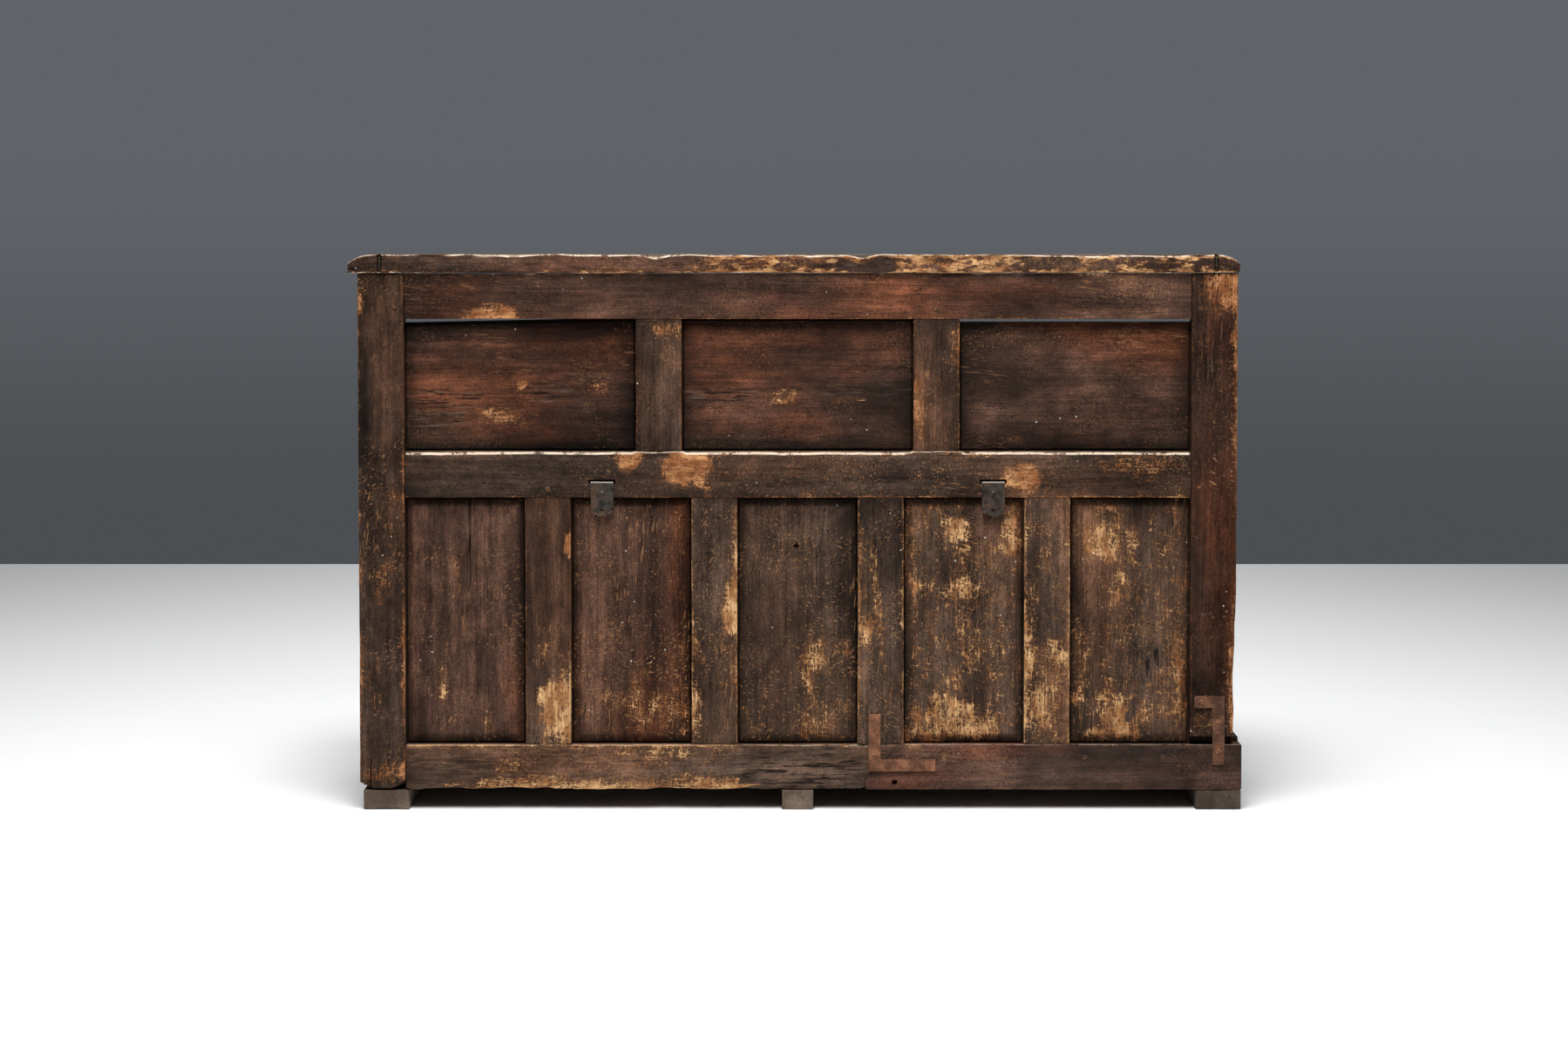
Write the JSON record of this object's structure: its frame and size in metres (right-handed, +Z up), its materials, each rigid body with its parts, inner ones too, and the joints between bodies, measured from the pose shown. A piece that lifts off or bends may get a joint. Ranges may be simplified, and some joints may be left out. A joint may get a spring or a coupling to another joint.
{
  "type": "chest bench",
  "caption": "Old panelled chest bench with a framed back, a plank cap, a hinged seat lid on iron straps and a repaired rear corner, standing on wooden skids.",
  "frame": {"origin": "on the floor, at the middle of the bench's width and depth", "axes": "+Z up; -Y is the front, where a person sits down, and +Y the rear; +X is the right seen from the front"},
  "size_m": [1.331, 0.4651, 0.8316],
  "materials": {
    "old_wood": "old dark finish, worn",
    "repair_wood": "stained newer wood",
    "bare_wood": "weathered, bare",
    "inner_wood": "unfinished, dusty",
    "wrought_iron": "black, worn",
    "rusty_steel": "rusty brown"
  },
  "bodies": {
    "bench": {"back_bottom_rail_old": "old_wood", "back_bottom_rail_repair": "repair_wood", "back_cap": "old_wood", "back_middle_rail": "old_wood", "back_post_left": "old_wood", "back_post_right": "old_wood", "back_top_rail": "old_wood", "brace_post": "rusty_steel", "brace_scarf": "rusty_steel", "brace_screws": "rusty_steel", "floor_board_back": "inner_wood", "floor_board_front": "inner_wood", "floor_board_middle": "inner_wood", "frame_nails": "wrought_iron", "frame_pegs": "old_wood", "front_bottom_rail": "old_wood", "front_muntin_left": "old_wood", "front_muntin_right": "old_wood", "front_panel_left": "old_wood", "front_panel_middle": "old_wood", "front_panel_right": "old_wood", "front_stile_left": "old_wood", "front_stile_right": "old_wood", "front_top_rail": "old_wood", "hinge_pins": "wrought_iron", "hinge_rear_strap_left": "wrought_iron", "hinge_rear_strap_right": "wrought_iron", "lower_muntin_1": "old_wood", "lower_muntin_2": "old_wood", "lower_muntin_3": "old_wood", "lower_muntin_4": "old_wood", "lower_panel_1": "old_wood", "lower_panel_2": "old_wood", "lower_panel_3": "old_wood", "lower_panel_4": "old_wood", "lower_panel_5": "old_wood", "seat_strip": "old_wood", "side_bottom_rail_right": "old_wood", "side_panel_left": "old_wood", "side_panel_right": "old_wood", "side_sill_left": "repair_wood", "side_top_rail_left": "old_wood", "side_top_rail_right": "old_wood", "skid_left": "bare_wood", "skid_middle": "bare_wood", "skid_right": "bare_wood", "upper_muntin_left": "old_wood", "upper_muntin_right": "old_wood", "upper_panel_left": "old_wood", "upper_panel_middle": "old_wood", "upper_panel_right": "old_wood"},
    "seat_lid": {"hinge_lid_strap_left": "wrought_iron", "hinge_lid_strap_right": "wrought_iron", "lid_batten_left": "inner_wood", "lid_batten_right": "inner_wood", "lid_board_back": "old_wood", "lid_board_front": "old_wood", "lid_nails": "wrought_iron"}
  },
  "joints": [
    {"name": "seat_lid_hinge", "type": "hinge", "parent": "bench", "child": "seat_lid", "pos_m": [0, 0.1115, 0.495], "axis": [-1, 0, 0], "range_deg": [0, 99]}
  ]
}
